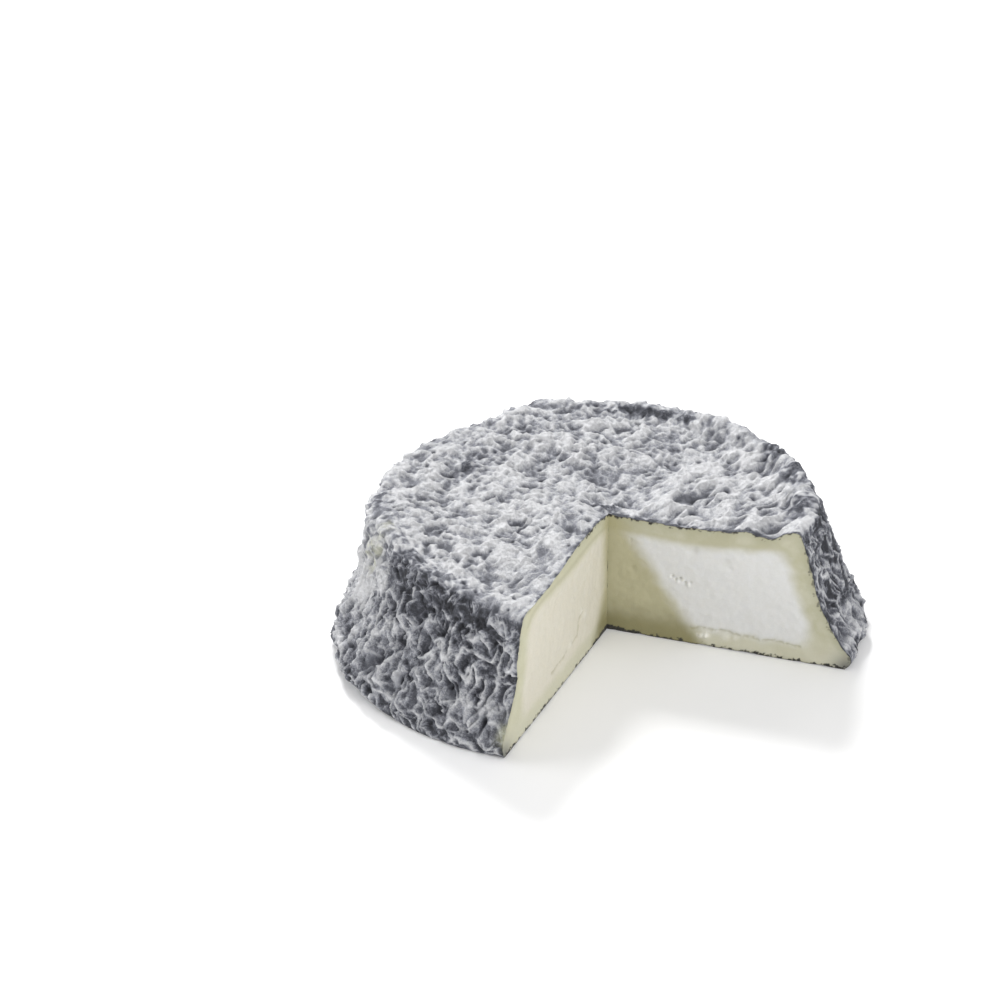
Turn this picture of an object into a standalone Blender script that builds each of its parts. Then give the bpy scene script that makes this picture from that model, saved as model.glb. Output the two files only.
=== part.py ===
"""A small ash-coated goat's cheese with one wedge cut out of it.

The curd was turned out of a flared mould: wide foot, leaning side, raised rim and dished top. One
half section is turned about the upright axis, pushed out of round by a few waves and dents,
wrinkled like the dried rind, cut flat where it stands, and opened by two knife cuts.
"""

import math

import bmesh
import bpy
from mathutils import Vector
from mathutils import noise
from mathutils.geometry import interpolate_bezier

MM = 0.001

# The half section, in millimetres: (radius, height) from the middle of the top to the board
MIDDLE_OF_TOP = (0.0, 23.9)
EDGE_OF_DISH = (33.6, 24.0)
RIM_CREST = (37.3, 25.0)
SHOULDER = (39.4, 22.8)
WIDEST = (46.6, 3.4)
UNDERCUT = (44.2, -1.2)
# The bends of the half section: where each starts, the two points that pull it, and where it ends
BENDS = (
    (MIDDLE_OF_TOP, (12.0, 23.9), (24.0, 23.6), EDGE_OF_DISH),
    (EDGE_OF_DISH, (35.0, 24.2), (35.8, 25.0), RIM_CREST),
    (RIM_CREST, (38.4, 25.0), (39.0, 24.2), SHOULDER),
    (SHOULDER, (41.2, 15.0), (45.0, 6.5), WIDEST),
    (WIDEST, (47.4, 1.8), (46.4, 0.2), UNDERCUT),
)
BEND_POINTS = 40

# How the handmade cheese leaves the round, in millimetres: (size, waves round the cheese, peak in degrees)
RIM_WAVES = ((2.4, 1, -72), (1.3, 2, -25), (0.8, 3, -55), (0.6, 4, 25))
FOOT_WAVES = ((1.5, 1, -52), (1.1, 2, 60), (0.95, 3, -10))
RIM_LIFT = (1.1, 1, 5)
RIM_INNER_SLOPE = 1.5
# Places where the side is pushed out or in: (push, degrees, height, half width in degrees, half height)
DENTS = (
    (-1.9, -162, 9.5, 24, 7.0),
    (-1.6, 150, 24.0, 14, 8.0),
    (-0.5, 28, 18.0, 20, 8.0),
    (-2.3, 0, 11.0, 13, 10.0),
    (-1.2, -2, 24.0, 10, 5.0),
    (0.6, 12, 1.5, 14, 3.0),
    (-0.7, 69, 24.0, 9, 8.0),
    (0.9, 49, 24.0, 7, 8.0),
    (-1.6, -90, 12.0, 11, 5.0),
)

# Places where the top swells or sinks, from above, in millimetres: (rise, x, y, half width)
SWELLS = (
    (1.7, 2.0, -13.5, 9.0),
    (1.3, 28.5, -1.0, 8.0),
    (-1.9, 0.5, -41.0, 5.0),
)

# The cut: where the two knife cuts meet, and the direction of each, in degrees
CUT_CORNER = Vector((2.9, -2.9)) * MM
CUT_DIRECTIONS = (-93.5, 3.5)

# The wrinkled rind, in millimetres
SEED = 5
FOLD_SIZE = 13.0
FOLD_HEIGHT = 1.3
LUMP_SIZE = 4.4
LUMP_HEIGHT = 0.9
CELL_WIDTH = 5.0
CELL_LENGTH = 8.0
CELL_HEIGHT = 1.0
FLAT_FOOT = 2.0
# Shares of the lumps' and cells' own size: how far they are pushed crooked, over what size, and more
LUMP_CROOK = 0.5
LUMP_CROOK_RATE = 0.6
SMALL_LUMP_SHARE = 0.4
SMALL_LUMP_RATE = 2.1
CELL_CROOK = 0.35
CELL_CROOK_RATE = 1.3
CELL_RIDGE = 0.22
# How far up a face looks where the side's cells give way to the top's lumps
CELLS_END = 0.35
LUMPS_BEGIN = 0.85

# Mesh: turned finely, then thinned
TURNS = 360
SECTION_STEP = 0.8
KEPT_SHARE = 0.27
SAME_PLACE = 0.0001
SHARP_EDGE = 50
WEDGE_REACH = 140.0

RIND_COLOUR = (0.42, 0.43, 0.45, 1.0)
RIND_ROUGHNESS = 0.85


def clear_scene():
    for thing in list(bpy.data.objects):
        bpy.data.objects.remove(thing, do_unlink=True)


def new_collection(name):
    collection = bpy.data.collections.new(name)
    bpy.context.scene.collection.children.link(collection)
    return collection


def smooth_step(value, low, high):
    share = min(1.0, max(0.0, (value - low) / (high - low)))
    return share * share * (3 - 2 * share)


def half_section():
    """The half section from the middle of the top to below the board, at even steps."""
    fine = []
    for bend in BENDS:
        places = [Vector((radius, 0.0, height)) for radius, height in bend]
        fine += interpolate_bezier(*places, BEND_POINTS)[:-1]
    even = [fine[0]]
    for point in fine[1:]:
        if (point - even[-1]).length >= SECTION_STEP:
            even.append(point)
    return even + [Vector((0.0, 0.0, UNDERCUT[1]))]


def turned_body(collection):
    """The half section turned all the way round, as one closed mesh in millimetres."""
    section = half_section()
    mesh = bpy.data.meshes.new("half_section")
    edges = [(i, i + 1) for i in range(len(section) - 1)]
    mesh.from_pydata([tuple(point) for point in section], edges, [])
    profile = bpy.data.objects.new("turned_body", mesh)
    collection.objects.link(profile)
    screw = profile.modifiers.new("turned", "SCREW")
    screw.axis = "Z"
    screw.steps = TURNS
    screw.render_steps = TURNS
    screw.use_merge_vertices = True
    screw.merge_threshold = SAME_PLACE
    graph = bpy.context.evaluated_depsgraph_get()
    body = bpy.data.meshes.new_from_object(profile.evaluated_get(graph))
    bpy.data.objects.remove(profile, do_unlink=True)
    return body


def waves(terms, angle):
    return sum(size * math.cos(count * (angle - math.radians(peak))) for size, count, peak in terms)


def dent(terms, angle, height):
    push, degrees, middle, half_width, half_height = terms
    turn = math.remainder(angle - math.radians(degrees), math.tau) / math.radians(half_width)
    rise = (height - middle) / half_height
    return push * math.exp(-turn * turn - rise * rise)


def swell(terms, point):
    rise, x, y, half_width = terms
    return rise * math.exp(-((point.x - x) ** 2 + (point.y - y) ** 2) / half_width**2)


def out_of_round(point):
    """Moves a point of the turned body to its place on the handmade cheese."""
    radius = math.hypot(point.x, point.y)
    angle = math.atan2(point.y, point.x)
    up = smooth_step(point.z, 0.0, RIM_CREST[1])
    outward = min(1.0, radius / RIM_CREST[0]) ** 2
    rim = up * smooth_step(radius, EDGE_OF_DISH[0] - RIM_INNER_SLOPE, RIM_CREST[0])
    push = up * waves(RIM_WAVES, angle) + (1 - up) * waves(FOOT_WAVES, angle)
    push += sum(dent(terms, angle, point.z) for terms in DENTS)
    radius += outward * push
    lift = rim * waves((RIM_LIFT,), angle) + up * sum(swell(terms, point) for terms in SWELLS)
    return Vector((radius * math.cos(angle), radius * math.sin(angle), point.z + lift))


def lumps(point):
    """Height of the soft lumps of the top, about -0.5 to 0.5."""
    place = point / LUMP_SIZE
    place = place + LUMP_CROOK * noise.noise_vector(place * LUMP_CROOK_RATE)
    return noise.noise(place) + SMALL_LUMP_SHARE * noise.noise(place * SMALL_LUMP_RATE)


def cells(point):
    """Height from 0 to 1 of the crooked ridges of the side, which stand round deeper cups."""
    angle = math.atan2(point.y, point.x)
    radius = RIM_CREST[0]
    round_place = Vector((math.cos(angle), math.sin(angle), 0.0)) * (radius / CELL_WIDTH)
    place = round_place + Vector((0.0, 0.0, point.z / CELL_LENGTH))
    place = place + CELL_CROOK * noise.noise_vector(place * CELL_CROOK_RATE)
    near = noise.voronoi(place)[0]
    return math.exp(-(near[1] - near[0]) / CELL_RIDGE)


def rind_relief(point, upward):
    """How far the rind stands out at a point of the body, in millimetres."""
    folds = FOLD_HEIGHT * noise.noise(point / FOLD_SIZE)
    top = LUMP_HEIGHT * lumps(point)
    side = CELL_HEIGHT * (cells(point) - 0.5)
    return folds + upward * top + (1 - upward) * side


def shape_body(mesh):
    """Makes the turned body uneven and wrinkled."""
    shape = bmesh.new()
    shape.from_mesh(mesh)
    bmesh.ops.remove_doubles(shape, verts=shape.verts, dist=SAME_PLACE)
    for vertex in shape.verts:
        vertex.co = out_of_round(vertex.co)
    bmesh.ops.recalc_face_normals(shape, faces=shape.faces)
    shape.normal_update()
    moved = []
    for vertex in shape.verts:
        upward = smooth_step(vertex.normal.z, CELLS_END, LUMPS_BEGIN)
        above = smooth_step(vertex.co.z, 0.0, FLAT_FOOT)
        moved.append(vertex.co + vertex.normal * (above * rind_relief(vertex.co, upward)))
    for vertex, place in zip(shape.verts, moved):
        vertex.co = place
    bmesh.ops.scale(shape, verts=shape.verts, vec=(MM, MM, MM))
    shape.to_mesh(mesh)
    shape.free()


def thin_mesh(thing):
    """Fewer triangles, which keep the wrinkles."""
    thin = thing.modifiers.new("thinned", "DECIMATE")
    thin.ratio = KEPT_SHARE
    graph = bpy.context.evaluated_depsgraph_get()
    mesh = bpy.data.meshes.new_from_object(thing.evaluated_get(graph))
    thing.modifiers.remove(thin)
    thing.data = mesh


def cut_flat(thing):
    """The flat face that the cheese stands on."""
    shape = bmesh.new()
    shape.from_mesh(thing.data)
    everything = shape.verts[:] + shape.edges[:] + shape.faces[:]
    cut = bmesh.ops.bisect_plane(
        shape, geom=everything, plane_co=(0, 0, 0), plane_no=(0, 0, 1), clear_inner=True
    )
    rim = [edge for edge in cut["geom_cut"] if isinstance(edge, bmesh.types.BMEdge)]
    bmesh.ops.edgeloop_fill(shape, edges=rim)
    bmesh.ops.recalc_face_normals(shape, faces=shape.faces)
    shape.to_mesh(thing.data)
    shape.free()


def knife_wedge(collection):
    """The wedge that the two knife cuts take out."""
    reach = WEDGE_REACH * MM
    middle = sum(CUT_DIRECTIONS) / 2
    outline = [CUT_CORNER]
    for degrees in (CUT_DIRECTIONS[0], middle, CUT_DIRECTIONS[1]):
        turn = math.radians(degrees)
        outline.append(CUT_CORNER + reach * Vector((math.cos(turn), math.sin(turn))))
    shape = bmesh.new()
    depth = RIM_CREST[1] * MM
    corners = [shape.verts.new((place.x, place.y, -depth)) for place in outline]
    floor = shape.faces.new(corners)
    raised = bmesh.ops.extrude_face_region(shape, geom=[floor])["geom"]
    lifted = [item for item in raised if isinstance(item, bmesh.types.BMVert)]
    bmesh.ops.translate(shape, verts=lifted, vec=(0, 0, 3 * depth))
    bmesh.ops.recalc_face_normals(shape, faces=shape.faces)
    mesh = bpy.data.meshes.new("knife_wedge")
    shape.to_mesh(mesh)
    shape.free()
    wedge = bpy.data.objects.new("knife_wedge", mesh)
    wedge.hide_render = True
    wedge.display_type = "WIRE"
    collection.objects.link(wedge)
    return wedge


def middle_of_base(thing):
    """The point of the board under the middle of the box round the cut cheese."""
    graph = bpy.context.evaluated_depsgraph_get()
    cut = thing.evaluated_get(graph).data
    across = [vertex.co.x for vertex in cut.vertices]
    along = [vertex.co.y for vertex in cut.vertices]
    return Vector(((min(across) + max(across)) / 2, (min(along) + max(along)) / 2, 0.0))


def rind_material():
    material = bpy.data.materials.new("ash_rind")
    material.use_nodes = True
    shader = material.node_tree.nodes["Principled BSDF"]
    shader.inputs["Base Color"].default_value = RIND_COLOUR
    shader.inputs["Roughness"].default_value = RIND_ROUGHNESS
    shader.inputs["Metallic"].default_value = 0.0
    return material


def make_cheese(parts, cutters):
    mesh = turned_body(parts)
    shape_body(mesh)
    cheese = bpy.data.objects.new("cheese", mesh)
    parts.objects.link(cheese)
    thin_mesh(cheese)
    cut_flat(cheese)
    wedge = knife_wedge(cutters)
    opened = cheese.modifiers.new("wedge_cut_out", "BOOLEAN")
    opened.operation = "DIFFERENCE"
    opened.solver = "EXACT"
    opened.object = wedge
    middle = middle_of_base(cheese)
    cheese.location = -middle
    wedge.location = -middle
    cheese.data.materials.append(rind_material())
    cheese.data.shade_smooth()
    cheese.data.set_sharp_from_angle(angle=math.radians(SHARP_EDGE))
    print("turning axis at", tuple(round(-value / MM, 3) for value in middle), "mm")
    return cheese


noise.seed_set(SEED)
clear_scene()
make_cheese(new_collection("cut_goats_cheese"), new_collection("cutters"))
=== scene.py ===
import math

import bmesh
import bpy
import numpy as np
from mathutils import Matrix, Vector
from mathutils import noise
from mathutils.geometry import interpolate_bezier


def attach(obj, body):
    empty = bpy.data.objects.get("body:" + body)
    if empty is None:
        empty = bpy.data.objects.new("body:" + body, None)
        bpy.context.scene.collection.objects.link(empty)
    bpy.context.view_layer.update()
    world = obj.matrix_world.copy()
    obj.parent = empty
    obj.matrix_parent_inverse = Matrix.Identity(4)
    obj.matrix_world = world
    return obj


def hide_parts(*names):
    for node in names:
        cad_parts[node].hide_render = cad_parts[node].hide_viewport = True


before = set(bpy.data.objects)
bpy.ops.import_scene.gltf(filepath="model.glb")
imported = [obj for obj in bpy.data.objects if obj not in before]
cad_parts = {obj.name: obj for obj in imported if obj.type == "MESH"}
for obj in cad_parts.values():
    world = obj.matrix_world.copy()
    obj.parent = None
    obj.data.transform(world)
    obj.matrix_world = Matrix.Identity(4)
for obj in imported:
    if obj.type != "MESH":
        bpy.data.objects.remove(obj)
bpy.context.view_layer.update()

MM = 0.001

# The turning axis of the cheese in the row frame, in millimetres
AXIS = (-1.433, 0.717)

# The half section, in millimetres: (radius, height)
MIDDLE_OF_TOP = (0.0, 23.9)
EDGE_OF_DISH = (33.6, 24.0)
RIM_CREST = (37.3, 25.0)
SHOULDER = (39.4, 22.8)
WIDEST = (46.6, 3.4)
UNDERCUT = (44.2, -1.2)
# The bends of the half section: where each starts, the two points that pull it, and where it ends
BENDS = (
    (MIDDLE_OF_TOP, (12.0, 23.9), (24.0, 23.6), EDGE_OF_DISH),
    (EDGE_OF_DISH, (35.0, 24.2), (35.8, 25.0), RIM_CREST),
    (RIM_CREST, (38.4, 25.0), (39.0, 24.2), SHOULDER),
    (SHOULDER, (41.2, 15.0), (45.0, 6.5), WIDEST),
    (WIDEST, (47.4, 1.8), (46.4, 0.2), UNDERCUT),
)
BEND_POINTS = 60

# How the handmade cheese leaves the round: (size in millimetres, waves round it, peak in degrees)
RIM_WAVES = ((2.4, 1, -72), (1.3, 2, -25), (0.8, 3, -55), (0.6, 4, 25))
FOOT_WAVES = ((1.5, 1, -52), (1.1, 2, 60), (0.95, 3, -10))
RIM_LIFT = (1.1, 1, 5)
RIM_INNER_SLOPE = 1.5
# Places where the side is pushed out or in, in millimetres and degrees:
# (push, direction, height, half width in degrees, half height)
DENTS = (
    (-1.9, -162, 9.5, 24, 7.0),
    (-1.6, 150, 24.0, 14, 8.0),
    (-0.5, 28, 18.0, 20, 8.0),
    (-2.3, 0, 11.0, 13, 10.0),
    (-1.2, -2, 24.0, 10, 5.0),
    (0.6, 12, 1.5, 14, 3.0),
    (-0.7, 69, 24.0, 9, 8.0),
    (0.9, 49, 24.0, 7, 8.0),
    (-1.6, -90, 12.0, 11, 5.0),
)
# Places where the top swells or sinks, in millimetres from the axis: (rise, x, y, half width)
SWELLS = (
    (1.7, 2.0, -13.5, 9.0),
    (1.3, 28.5, -1.0, 8.0),
    (-1.9, 0.5, -41.0, 5.0),
)

# The two knife cuts: where they meet, and the direction of each, in degrees
CUT_CORNER = np.array([2.9, -2.9])
LEFT_CUT = -93.5
RIGHT_CUT = 3.5
SWEEP = 360 + LEFT_CUT - RIGHT_CUT

# The rind's skin before it is laid on the body: a fan of even rings round a hub, with twice
# the spokes past each doubling, in millimetres
HUB = 1.0
COARSE_SPOKES = 300
DOUBLINGS = (13.0, 26.0)
TOP_STEP = 0.2
SIDE_STEP = 0.15
UNDERSIDE_STEP = 1.0
TOP_SPLIT = 26.0
INNER_RING = 12.0
DISH_MARGIN = 1.0
EDGE_BLEND = 3.0
# Nearer than this, two vertices count as on one ring, at one run or on one spoke
SAME_RING = 0.05
SAME_RUN = 1e-4
SAME_TURN = 1e-4
NUDGE = 1e-6

# Coarse relief, the same as the solid's, in millimetres, with the twist and fineness of each
SEED = 5
FOLD_SIZE = 13.0
FOLD_HEIGHT = 1.3
LUMP_SIZE = 4.4
LUMP_HEIGHT = 0.9
LUMP_TWIST = 0.5
LUMP_TWIST_FINENESS = 0.6
SMALL_LUMP_SHARE = 0.4
SMALL_LUMP_FINENESS = 2.1
CELL_WIDTH = 5.0
CELL_LENGTH = 8.0
CELL_HEIGHT = 1.0
CELL_TWIST = 0.35
CELL_TWIST_FINENESS = 1.3
CELL_CREST = 0.22

# Large odd numbers that scramble a square's column, row and draw, and the bits that are kept
SCRAMBLE_COLUMN = 374761393
SCRAMBLE_ROW = 668265263
SCRAMBLE_DRAW = 974711
SCRAMBLE_ALL = 1274126177
KEPT_BITS = 0xFFFFFF

# The shape of a fine crest: how round its edge is, and how fast its slopes fall
CREST_ROUNDING = 0.02
CREST_FALL = 1.5

# Fine relief of the top, in millimetres
TOP_FINE_HEIGHT = 1.0
LONG_WRINKLES_GRAIN = 66
LONG_WRINKLES_STRETCH = 0.55
LONG_WRINKLES_STRENGTH = 1.2
PIT_DEPTH = 0.8
PIT_SPACING = 3.4
PITS_ABOVE = 0.8

# Fine relief of the side, in millimetres: how far each form stands out, or lies in
NET_HEIGHT = 0.9
SMALL_CREST_HEIGHT = 0.25
CRUMPLED_CREST_HEIGHT = 0.1
LOBE_HEIGHT = 0.35
BLOTCH_DEPTH = 0.6
STREAK_HEIGHT = 0.5
GRAIN_HEIGHT = 0.05
SIDE_SINK = 0.3
SIDE_LEAN = 0.35
# How light the bloom is between the crests, and how much lighter on each form
HOLLOW_BLOOM = 0.07
NET_BLOOM = 0.85
SMALL_CREST_BLOOM = 0.35
CRUMPLED_CREST_BLOOM = 0.25
GRAIN_BLOOM = 0.12
STREAK_BLOOM = 0.75
FROST_BLOOM = 0.95
MOST_BLOOM = 0.86

# The frosted part of the side: its turn to the left of a direction, and its height, where it
# sets in and ends, in degrees and millimetres
FROST_DIRECTION = -120
FROST_STARTS = (10, 26)
FROST_ENDS = (42, 72)
FROST_LIFTS = (5, 12)

# The edges of the rind: the gap under the foot in millimetres, and how far the knife pressed
# the relief flat
FOOT_GAP = 0.35
CUT_PRESS = 0.65
PRESS_WIDTH = 1.6

# Deep cups, dark with bare ash and painted shade, the deeper the darker, and pale lumps of the
# side: (degrees, height, half width, push), in millimetres
SIDE_MARKS = (
    (-127, 7.0, 1.8, -1.0),
    (-130, 16.0, 1.5, -0.9),
    (-120, 17.0, 1.6, -0.9),
    (-104, 9.0, 1.5, -0.9),
    (-118, 7.0, 1.3, -0.8),
    (-121, 21.0, 1.8, 0.7),
    (-139, 8.5, 1.2, -0.6),
)

# Where the ash shows bare. Patches from above: (x, y, half width, strength), in millimetres
# from the axis. Along the cuts: (cut, strength, half width). The back rim and the front of the
# shoulder: direction and half width in degrees
BARE_PATCHES = (
    (-26.1, 3.7, 2.4, 0.8),
    (-37.0, -12.0, 3.2, 0.7),
    (1.6, -0.6, 2.8, 1.0),
    (17.5, 33.0, 3.0, 0.8),
    (24.5, 25.8, 3.4, 0.8),
    (30.5, 20.0, 3.8, 0.85),
    (34.5, 9.5, 3.8, 0.85),
)
BARE_AT_CUTS = ((RIGHT_CUT, 0.85, 1.1), (LEFT_CUT, 0.65, 0.7))
BACK_RIM = 96
FRONT_SHOULDER = -124
BARE_SPREAD = 26

# The yellow stains: on the shoulder, and above the foot beside the left cut. Directions and
# half widths in degrees, heights in millimetres
STAIN_DIRECTION = -146
STAIN_HEIGHT = 20.2
FOOT_STAIN_HEIGHT = 4.5
FOOT_STAIN_STRENGTH = 0.7

# The direction of the side beside the right cut, where the relief is lower and the bloom thinner
CALM_SIDE = 5


def smooth_step(value, low, high):
    share = np.clip((value - low) / (high - low), 0.0, 1.0)
    return share * share * (3 - 2 * share)


def hill(distance, half_width):
    return np.exp(-((distance / half_width) ** 2))


def half_section():
    """The half section from the middle of the top to the board: run along it, radius, height."""
    fine = []
    for bend in BENDS:
        places = [Vector((radius, 0.0, height)) for radius, height in bend]
        fine += interpolate_bezier(*places, BEND_POINTS)[:-1]
    points = np.array([(point.x, point.z) for point in fine if point.z > 0.0])
    run = np.concatenate([[0.0], np.cumsum(np.hypot(*np.diff(points, axis=0).T))])
    return run, points[:, 0], points[:, 1]


RUN, RADIUS, HEIGHT = half_section()
CREST = int(np.argmin(np.abs(RADIUS - RIM_CREST[0])))
RIM_RUN = float(RUN[CREST])
FOOT_RUN = float(RUN[-1])
CONTACT = float(RADIUS[-1])


def waves(terms, angle):
    return sum(size * np.cos(count * (angle - math.radians(peak))) for size, count, peak in terms)


def turned(angle, degrees):
    """The turn from a direction in degrees to each angle, within half a turn, in radians."""
    return np.remainder(angle - math.radians(degrees) + math.pi, math.tau) - math.pi


def facing(angle, degrees, half_width):
    """1 in a direction and 0 away from it, with the direction and the half width in degrees."""
    return hill(turned(angle, degrees), math.radians(half_width))


def dent(terms, angle, height):
    push, degrees, middle, half_width, half_height = terms
    turn = turned(angle, degrees) / math.radians(half_width)
    rise = (height - middle) / half_height
    return push * np.exp(-turn * turn - rise * rise)


def swell(terms, points):
    rise, x, y, half_width = terms
    return rise * hill(np.hypot(points[:, 0] - x, points[:, 1] - y), half_width)


def out_of_round(points):
    """Moves points of the turned body to their place on the handmade cheese."""
    radius = np.hypot(points[:, 0], points[:, 1])
    angle = np.arctan2(points[:, 1], points[:, 0])
    up = smooth_step(points[:, 2], 0.0, RIM_CREST[1])
    outward = np.minimum(1.0, radius / RIM_CREST[0]) ** 2
    rim = up * smooth_step(radius, EDGE_OF_DISH[0] - RIM_INNER_SLOPE, RIM_CREST[0])
    push = up * waves(RIM_WAVES, angle) + (1 - up) * waves(FOOT_WAVES, angle)
    push = push + sum(dent(terms, angle, points[:, 2]) for terms in DENTS)
    radius = radius + outward * push
    lift = rim * waves((RIM_LIFT,), angle) + up * sum(swell(terms, points) for terms in SWELLS)
    return np.stack([radius * np.cos(angle), radius * np.sin(angle), points[:, 2] + lift], axis=1)


def lumps(point):
    """Height of the soft lumps of the top, about -0.5 to 0.5."""
    place = point / LUMP_SIZE
    place = place + LUMP_TWIST * noise.noise_vector(place * LUMP_TWIST_FINENESS)
    return noise.noise(place) + SMALL_LUMP_SHARE * noise.noise(place * SMALL_LUMP_FINENESS)


def cells(point):
    """Height from 0 to 1 of the crooked ridges of the side, which stand round deeper cups."""
    angle = math.atan2(point.y, point.x)
    way_round = Vector((math.cos(angle), math.sin(angle), 0.0)) * (RIM_CREST[0] / CELL_WIDTH)
    place = way_round + Vector((0.0, 0.0, point.z / CELL_LENGTH))
    place = place + CELL_TWIST * noise.noise_vector(place * CELL_TWIST_FINENESS)
    near = noise.voronoi(place)[0]
    return math.exp(-(near[1] - near[0]) / CELL_CREST)


def scattered(column, row, draw):
    """A fixed random number from 0 to 1 for each square of a grid."""
    mixed = column.astype(np.int64) * SCRAMBLE_COLUMN + row.astype(np.int64) * SCRAMBLE_ROW
    mixed = mixed + draw * SCRAMBLE_DRAW
    mixed = (mixed ^ (mixed >> 13)) * SCRAMBLE_ALL
    return ((mixed ^ (mixed >> 16)) & KEPT_BITS) / KEPT_BITS


def soft(places, size, draw):
    """Soft hills and hollows of one size over a plane, about -0.7 to 0.7.

    Each draw, here and below, gives a pattern of its own.
    """
    grid = places / size
    corner = np.floor(grid)
    inside = grid - corner
    fade = inside**3 * (inside * (inside * 6 - 15) + 10)
    value = np.zeros(len(places))
    for right in (0, 1):
        for up in (0, 1):
            way = math.tau * scattered(corner[:, 0] + right, corner[:, 1] + up, draw)
            slope = np.cos(way) * (inside[:, 0] - right) + np.sin(way) * (inside[:, 1] - up)
            share = np.abs(1 - right - fade[:, 0]) * np.abs(1 - up - fade[:, 1])
            value += share * slope
    return 1.25 * value


def layered(places, *layers):
    """Soft hills of several sizes added up: (height, size, draw) of each."""
    return sum(height * soft(places, size, draw) for height, size, draw in layers)


def twisted(places, size, reach, draw):
    """The plane pushed crooked."""
    push = np.stack([soft(places, size, draw), soft(places, size, draw + 1)], axis=1)
    return places + reach * push


def nearest_spots(places, size, draw):
    """For spots scattered over a plane: distance to the nearest, in its size, and its own draw."""
    grid = places / size
    corner = np.floor(grid)
    nearest = np.full(len(places), np.inf)
    own = np.zeros(len(places))
    for right in (-1, 0, 1):
        for up in (-1, 0, 1):
            column = corner[:, 0] + right
            row = corner[:, 1] + up
            across = column + 0.1 + 0.8 * scattered(column, row, draw) - grid[:, 0]
            along = row + 0.1 + 0.8 * scattered(column, row, draw + 1) - grid[:, 1]
            distance = np.hypot(across, along)
            own = np.where(distance < nearest, scattered(column, row, draw + 2), own)
            nearest = np.minimum(nearest, distance)
    return nearest, own


def ridges(places, size, width, draw):
    """1 on crooked crests over a plane, falling to 0 in rounded hollows between them."""
    value = soft(places, size, draw) / width
    return np.maximum(0.0, 1.0 - np.sqrt(value * value + CREST_ROUNDING)) ** CREST_FALL


def fine_lumps(plan, draw):
    """Small rounded lumps with crisp upper edges, about -1 to 1."""
    place = twisted(plan, size=2.4, reach=0.9, draw=draw)
    value = layered(place, (1.05, 1.5, draw + 2), (0.9, 3.0, draw + 5))
    value = value + 0.65 * ridges(place, size=2.4, width=0.32, draw=draw + 3) - 0.15
    swing = 1 + 0.65 * soft(plan, size=7.0, draw=draw + 6)
    return swing * value + 0.5 * soft(plan, size=0.8, draw=draw + 4)


def top_wrinkles(plan):
    """Fine relief of the top: round lumps on one half, and long ones that lie across the other."""
    long_share = smooth_step(plan[:, 0] * 0.93 - plan[:, 1] * 0.36, -2.0, 12.0)
    grain = math.radians(LONG_WRINKLES_GRAIN)
    along = plan[:, 0] * math.cos(grain) + plan[:, 1] * math.sin(grain)
    across = plan[:, 1] * math.cos(grain) - plan[:, 0] * math.sin(grain)
    stretched = np.stack([LONG_WRINKLES_STRETCH * along, across], axis=1)
    round_lumps = (1 - long_share) * fine_lumps(plan, draw=101)
    return round_lumps + LONG_WRINKLES_STRENGTH * long_share * fine_lumps(stretched, draw=131)


def pinholes(plan):
    """1 in the middle of a scattered pit, 0 away from it."""
    near, own = nearest_spots(plan, PIT_SPACING, draw=161)
    half_width = 0.06 + 0.14 * (own - PITS_ABOVE) / (1 - PITS_ABOVE)
    return np.where(own > PITS_ABOVE, hill(near, half_width), 0.0)


def side_wrinkles(plane, crumpled, frost):
    """Fine relief of the side in millimetres, how light its bloom is, darker in sunken blotches
    partly as painted shade, and its thin crests alone.
    """
    crooked = twisted(plane, size=4.0, reach=1.4, draw=21)
    crooked = twisted(crooked, size=1.5, reach=0.35, draw=25)
    tall = crooked / (1.0, 1.5)
    wide = ridges(tall, size=2.9, width=0.25, draw=31)
    wide = wide * (1 - 0.6 * crumpled) * (1 - 0.8 * frost)
    middle_share = np.clip(0.65 + 1.4 * soft(plane, size=3.4, draw=45), 0.05, 1)
    middle = ridges(tall, size=1.8, width=0.3, draw=41) * middle_share * (1 - 0.7 * frost)
    net = np.maximum(wide, 0.85 * middle)
    lobes = np.sqrt(np.maximum(0.0, soft(tall, size=2.9, draw=31)))
    small_share = np.clip(0.35 + 1.4 * soft(plane, size=2.7, draw=55) + 0.6 * crumpled, 0.1, 1)
    small = ridges(crooked, size=1.0, width=0.38, draw=51) * small_share * (1 - 0.5 * frost)
    blotch = soft(twisted(plane, size=2.0, reach=0.8, draw=35), size=2.4, draw=33)
    blotch = blotch + 0.4 * soft(plane, size=1.2, draw=37)
    low = smooth_step(-blotch, 0.3, 0.62) * (1 - 0.7 * frost)
    upright = twisted(plane, size=4.0, reach=1.2, draw=61) / (1.0, 6.0)
    streak = 1.2 * soft(upright, size=0.9, draw=67)
    streak = frost * (streak + 0.6 * ridges(upright, size=1.3, width=0.4, draw=73) - 0.15)
    grain = soft(plane, size=0.6, draw=71)
    height = (
        NET_HEIGHT * net
        + (SMALL_CREST_HEIGHT + CRUMPLED_CREST_HEIGHT * crumpled) * small
        + LOBE_HEIGHT * lobes
        - BLOTCH_DEPTH * low
        + STREAK_HEIGHT * streak
        + GRAIN_HEIGHT * grain
        - SIDE_SINK
    )
    bloom = (
        HOLLOW_BLOOM
        + NET_BLOOM * net
        + (SMALL_CREST_BLOOM + CRUMPLED_CREST_BLOOM * crumpled) * small
        # Sunken blotches are darker: thinner bloom and painted shade
        - 0.3 * low
        + 0.2 * blotch
        - 0.1 * crumpled
    )
    bloom = np.minimum(bloom, MOST_BLOOM) * (1 - 0.7 * frost)
    bloom = bloom + GRAIN_BLOOM * grain + STREAK_BLOOM * streak + FROST_BLOOM * frost
    return height, bloom, np.maximum(np.maximum(wide, middle), small)


def per_point(function, points, wanted):
    """The function's value at each wanted point, and 0 at the others."""
    values = np.zeros(len(points))
    for index in np.flatnonzero(wanted):
        values[index] = function(Vector(points[index]))
    return values


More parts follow.
